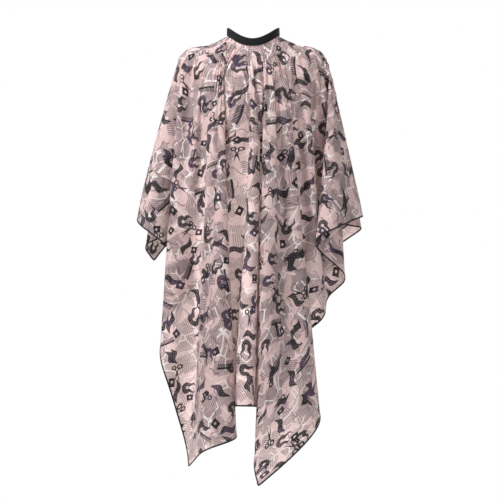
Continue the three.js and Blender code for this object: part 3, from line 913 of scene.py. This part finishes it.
def stitches(name, degrees, sink, reach, material):
    """A row of short stitches along the ring: each is a rod of six sides whose radius swells and falls as a
    cosine along it, and whose ends dip towards the cloth."""
    around = turns(6)
    step = np.linspace(-1, 1, 6)
    angles = degrees[:, None] + reach * step
    centre, across, up = (part.reshape(len(degrees), 6, 1, 3) for part in ring_stations(angles.ravel()))
    step = step[None, :, None]
    swell = STITCH_RADIUS * np.cos(step * math.pi / 2.2)
    out = sink * (1 - 0.12 * step**2) + swell * np.cos(around)
    lift = STITCH_LEVEL + swell * np.sin(around)
    points = centre + across * out[..., None] + up * lift[..., None]
    index = np.arange(points[..., 0].size).reshape(len(degrees), 6, 6)
    sides = (index[:, :1, :1, None] + quads(6, 6, around=True)).reshape(-1, 4)
    caps = np.concatenate([index[:, 0, :], index[:, -1, ::-1]])
    walk = (index // 6 * 0.0006).ravel()
    ring = (index % 6 * 0.0004).ravel()
    corners = np.concatenate([sides.ravel(), caps.ravel()])
    uv = np.stack([walk[corners], ring[corners]], axis=-1)
    return closed_piece(name, points, sides.tolist() + caps.tolist(), uv, material)


def thread_path(name, path, material):
    """A round thread of eight sides along a path, its frame turned so that it never flips."""
    ahead = unit(np.gradient(path, axis=0))
    side = unit(np.cross(ahead, np.array([0.31, 0.17, 0.93])))
    return rod_piece(name, carry(path, side, np.cross(ahead, side), TACK_RADIUS * circle(turns(8))), material)


class CapeOperator:
    """What every operator here shares."""

    bl_options = {"REGISTER", "UNDO"}

    @property
    def sizes(self):
        return bpy.context.scene.cape_sizes

    @property
    def colours(self):
        return bpy.context.scene.cape_colours


class CAPE_OT_stage(CapeOperator, Operator):
    """Set up the camera, the pale floor, the soft studio lights and the white surroundings"""

    bl_idname = "cape.stage"
    bl_label = "Stage"

    def execute(self, context):
        scene = context.scene
        camera = bpy.data.objects.new("camera", bpy.data.cameras.new("camera"))
        scene.collection.objects.link(camera)
        scene.camera = camera
        lens = SENSOR / 2 / (CAMERA_HALF_VIEW / CAMERA_DISTANCE)
        assign(camera.data, sensor_width=SENSOR, lens=lens)
        camera.location = (CAMERA_AIM[0], -CAMERA_DISTANCE, CAMERA_AIM[1])
        camera.rotation_euler = (math.pi / 2, 0, 0)

        angle = turns(72)
        flat = FLOOR_RADIUS * np.linspace(0.02, 1, 12)[:, None, None] * circle(angle)
        points = np.concatenate([flat, np.full((*flat.shape[:2], 1), FLOOR_HEIGHT)], axis=-1)
        faces = quads(*points.shape[:2], around=True).reshape(-1, 4).tolist() + [list(range(len(angle)))]
        corners = np.array([corner for face in faces for corner in face])
        floor = add_piece("floor", points, faces, flat.reshape(-1, 2)[corners], pale_floor())

        for name, place, power, size in LIGHTS:
            light = bpy.data.lights.new(name, "AREA")
            assign(light, energy=power, shape="DISK", size=size)
            holder = bpy.data.objects.new(name, light)
            holder.location = place
            holder.rotation_euler = (Vector(LIGHT_AIM) - Vector(place)).to_track_quat("-Z", "Y").to_euler()
            scene.collection.objects.link(holder)

        world = bpy.data.worlds.new("surroundings")
        world.use_nodes = True
        nodes, links = world.node_tree.nodes, world.node_tree.links
        nodes["Background"].inputs["Color"].default_value = (1, 1, 1, 1)
        seen = nodes.new("ShaderNodeLightPath").outputs["Is Camera Ray"]
        strength = nodes.new("ShaderNodeMapRange")
        strength.inputs["To Min"].default_value = WORLD_LIGHT
        strength.inputs["To Max"].default_value = 1.0
        links.new(seen, strength.inputs["Value"])
        links.new(strength.outputs["Result"], nodes["Background"].inputs["Strength"])
        scene.world = world
        assign(scene.view_settings, view_transform="Standard", look="None")
        return {"FINISHED"}


class CAPE_OT_cloth(CapeOperator, Operator):
    """Hang the printed cloth: cut it flat, let it fall over the form and add the gathers at the neck"""

    bl_idname = "cape.cloth"
    bl_label = "Cloth"

    def execute(self, context):
        flat, angle = flat_cut(self.sizes)
        start = start_shape(flat, angle, self.sizes)
        hung = fall(start, flat, self.sizes.frames)
        hung[..., 0] = soft_limit(hung[..., 0], *WIDEST)
        hung[..., 1] = soft_limit(hung[..., 1], *DEEPEST)
        points = finer(finer(hung, FINER_ROWS, 0), FINER_COLUMNS, 1)
        cut = straight(straight(flat, FINER_ROWS, 0), FINER_COLUMNS, 1)
        run = np.hypot(cut[..., 0], cut[..., 1]) - self.sizes.hole - TUCK
        column_angle = straight(angle, FINER_COLUMNS, 0)[None] + np.zeros_like(run)
        points += normals(points) * gathers(column_angle, run)[..., None]
        cloth = sheet_piece("cape_cloth", points, cut, printed_cloth(self.colours))
        cloth["rows"], cloth["columns"] = points.shape[:2]
        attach(cloth, "cape")
        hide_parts(*(f"cape_{part}_{side}" for part in PANELS for side in ("left", "right")))
        return {"FINISHED"}


class CAPE_OT_facings(CapeOperator, Operator):
    """Sew a narrow facing of the same cloth round each edge of the slit"""

    bl_idname = "cape.facings"
    bl_label = "Slit facings"

    def execute(self, context):
        points = cloth_grid()
        material = bpy.data.materials["printed_polyester"]
        for side, edge, beside in (("right", 0, 2), ("left", -1, -3)):
            rows = slice(4, -2)
            line, inward = points[rows, edge], points[rows, beside] - points[rows, edge]
            size = (self.sizes.facing, FACING_HALF_THICKNESS, 0.0004)
            facing = edge_binding(f"facing_{side}", line, inward, *size, material)
            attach(facing, "cape")
            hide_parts(f"slit_facing_{side}")
        return {"FINISHED"}


class CAPE_OT_hems(CapeOperator, Operator):
    """Bind the back, sides and front of the cloth with black overlock thread"""

    bl_idname = "cape.hems"
    bl_label = "Hems"

    def execute(self, context):
        points = cloth_grid()
        material = overlock_thread(self.colours)
        marks = FINER_COLUMNS * CORNER_COLUMNS
        for name, first, last in zip(HEM_RUNS, marks[:-1], marks[1:]):
            line = finer(points[-1, first : last + 1], 2, 0)
            inward = finer(points[-3, first : last + 1], 2, 0) - line
            size = (self.sizes.hem, HEM_HALF_THICKNESS, 0.0008)
            hem = edge_binding(f"overlock_{name}", line, inward, *size, material)
            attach(hem, "cape")
            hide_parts(f"hem_{name}")
        return {"FINISHED"}


class CAPE_OT_neckband(CapeOperator, Operator):
    """Fold the ribbed knit casing over the gathered edge"""

    bl_idname = "cape.neckband"
    bl_label = "Neckband"

    def execute(self, context):
        outer, inner = CHANNEL / 2 + PLY, CHANNEL / 2
        rise = np.linspace(-BAND_HALF_HEIGHT, BAND_HALF_HEIGHT - outer, 14)
        pinch = np.exp(-(((rise - STITCH_LEVEL) / 0.0012) ** 2))
        swell = outer + 0.0005 * np.sin(np.linspace(0, math.pi, 14)) - 0.0004 * pinch
        top = outer * circle(np.linspace(0, math.pi, 9)[1:-1]) + [0, BAND_HALF_HEIGHT - outer]
        low, high = -BAND_HALF_HEIGHT, BAND_HALF_HEIGHT - PLY
        channel = np.array([[-inner, low], [-inner, high], [inner, high], [inner, low]])
        wall = np.stack([swell, rise], axis=-1)
        section = np.concatenate([wall, top, wall[::-1] * [-1, 1], channel])
        degrees = np.linspace(EXIT_ANGLE, CLIP_END_ANGLE, 420)
        centre, across, up = ring_stations(degrees)
        band = rod_piece("neckband", carry(centre, across, up, section), knit_rib(self.colours))
        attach(band, "cape")
        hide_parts("neckband_casing")
        return {"FINISHED"}


class CAPE_OT_stitching(CapeOperator, Operator):
    """Sew the row of stitches that closes the casing, outside and inside, and its two bartacks"""

    bl_idname = "cape.stitching"
    bl_label = "Stitching"

    def execute(self, context):
        thread = sewing_thread(self.colours)
        pitch = math.degrees(self.sizes.stitch / STRAP_RADIUS)
        degrees = np.arange(EXIT_ANGLE + 1.5, CLIP_END_ANGLE - 1.5, pitch)
        for name, sign in (("outer", 1), ("inner", -1)):
            sink = sign * (CHANNEL / 2 + PLY + 0.00035)
            row = stitches(f"stitches_{name}", degrees, sink, 0.42 * pitch, thread)
            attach(row, "cape")
            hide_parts(f"neckband_stitching_{name}")
        for node, middle in (("strap_exit", EXIT_ANGLE + 3), ("clip_end", CLIP_END_ANGLE - 4)):
            turns = np.linspace(-1, 1, 27)
            angles = middle + 0.75 * np.where(np.arange(27) % 2, 1.0, -1.0)
            centre, across, up = ring_stations(angles)
            lift = (STRAP_LIFT + 0.0063 * turns)[:, None]
            path = centre + across * (CHANNEL / 2 + PLY + 0.0008) + up * lift
            tack = thread_path(f"tack_{node}", finer(path, 3, 0), thread)
            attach(tack, "cape")
            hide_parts(f"bartack_{node}")
        return {"FINISHED"}


class CAPE_OT_label(CapeOperator, Operator):
    """Fold the blank satin care label and hang it inside the back of the neck"""

    bl_idname = "cape.label"
    bl_label = "Care label"

    def execute(self, context):
        low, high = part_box("care_label")
        tall, half = LABEL_TALL, LABEL_HALF_WIDTH
        _, across, up = nape_stations(np.array([LABEL_ANGLE]), 1.0)
        drop = np.concatenate([np.linspace(0, tall, 22), np.linspace(tall, 0, 22)])
        droop = smooth(drop / tall)
        depth = np.repeat([0.00022, -0.00022], 22) - 0.0016 * droop**2
        width = np.linspace(-half, half, 9)
        ripple = 0.0004 * np.sin(width[None] / 0.004) * droop[:, None]
        points = (
            np.array((low + high) / 2)
            + across * (depth[:, None, None] + ripple[..., None])
            + up * (tall / 2 - drop)[:, None, None]
            + np.cross(up, across) * width[None, :, None]
        )
        walk = along(points[:, 4])
        uv = np.stack(np.broadcast_arrays(width[None] + half, walk[:, None]), axis=-1)
        label = sheet_piece("satin_label", points, uv, satin_label(self.colours))
        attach(label, "cape")
        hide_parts("care_label")
        return {"FINISHED"}


class CAPE_OT_strap(CapeOperator, Operator):
    """Weave the elastic strap through the casing and the clip"""

    bl_idname = "cape.strap"
    bl_label = "Elastic strap"

    def execute(self, context):
        degrees = np.linspace(*STRAP_ANGLES, 200)
        centre, across, up = nape_stations(degrees, STRAP_RADIUS)
        section = rounded(STRAP_THICKNESS, self.sizes.strap, 0.0005) + [0, STRAP_LIFT]
        strap = rod_piece("woven_strap", carry(centre, across, up, section), woven_elastic(self.colours))
        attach(strap, "strap")
        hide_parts("elastic_strap")
        return {"FINISHED"}


class CAPE_OT_clip(CapeOperator, Operator):
    """Finish the clip, its pin and lever, the strap's tip and the webbing keeper"""

    bl_idname = "cape.clip"
    bl_label = "Clip and keeper"

    def execute(self, context):
        nickel = nickel_plate(self.colours)
        finishes = {node: nickel for node in ("clip_base", "clip_pin", "clip_lever", "strap_tip")}
        finishes["clip_keeper"] = webbing(self.colours)
        for node, material in finishes.items():
            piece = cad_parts[node]
            piece.data.materials.clear()
            piece.data.materials.append(material)
            weld = piece.modifiers.new("Weld", "WELD")
            weld.merge_threshold = 0.00001
            bevel = piece.modifiers.new("Bevel", "BEVEL")
            assign(bevel, width=0.00018, segments=2, limit_method="ANGLE", angle_limit=math.radians(35))
        return {"FINISHED"}


OPERATORS = (
    CAPE_OT_stage,
    CAPE_OT_cloth,
    CAPE_OT_facings,
    CAPE_OT_hems,
    CAPE_OT_neckband,
    CAPE_OT_stitching,
    CAPE_OT_label,
    CAPE_OT_strap,
    CAPE_OT_clip,
)


class CAPE_PT_pieces(Panel):
    """Pieces, sizes and colours of the barber cape"""

    bl_idname = "CAPE_PT_pieces"
    bl_label = "Barber Cape"
    bl_space_type = "VIEW_3D"
    bl_region_type = "UI"
    bl_category = "Cape"

    def draw(self, context):
        layout = self.layout
        for operator in OPERATORS:
            layout.operator(operator.bl_idname)
        for group in (context.scene.cape_sizes, context.scene.cape_colours):
            box = layout.box()
            for name in group.__annotations__:
                box.prop(group, name)


CLASSES = (CapeSizes, CapeColours, *OPERATORS, CAPE_PT_pieces)


def register():
    for cls in CLASSES:
        bpy.utils.register_class(cls)
    bpy.types.Scene.cape_sizes = PointerProperty(type=CapeSizes)
    bpy.types.Scene.cape_colours = PointerProperty(type=CapeColours)


def unregister():
    del bpy.types.Scene.cape_colours
    del bpy.types.Scene.cape_sizes
    for cls in reversed(CLASSES):
        bpy.utils.unregister_class(cls)


def main():
    register()
    for step in ("stage", "cloth", "facings", "hems", "neckband", "stitching", "label", "strap", "clip"):
        getattr(bpy.ops.cape, step)()


if __name__ == "__main__":
    main()
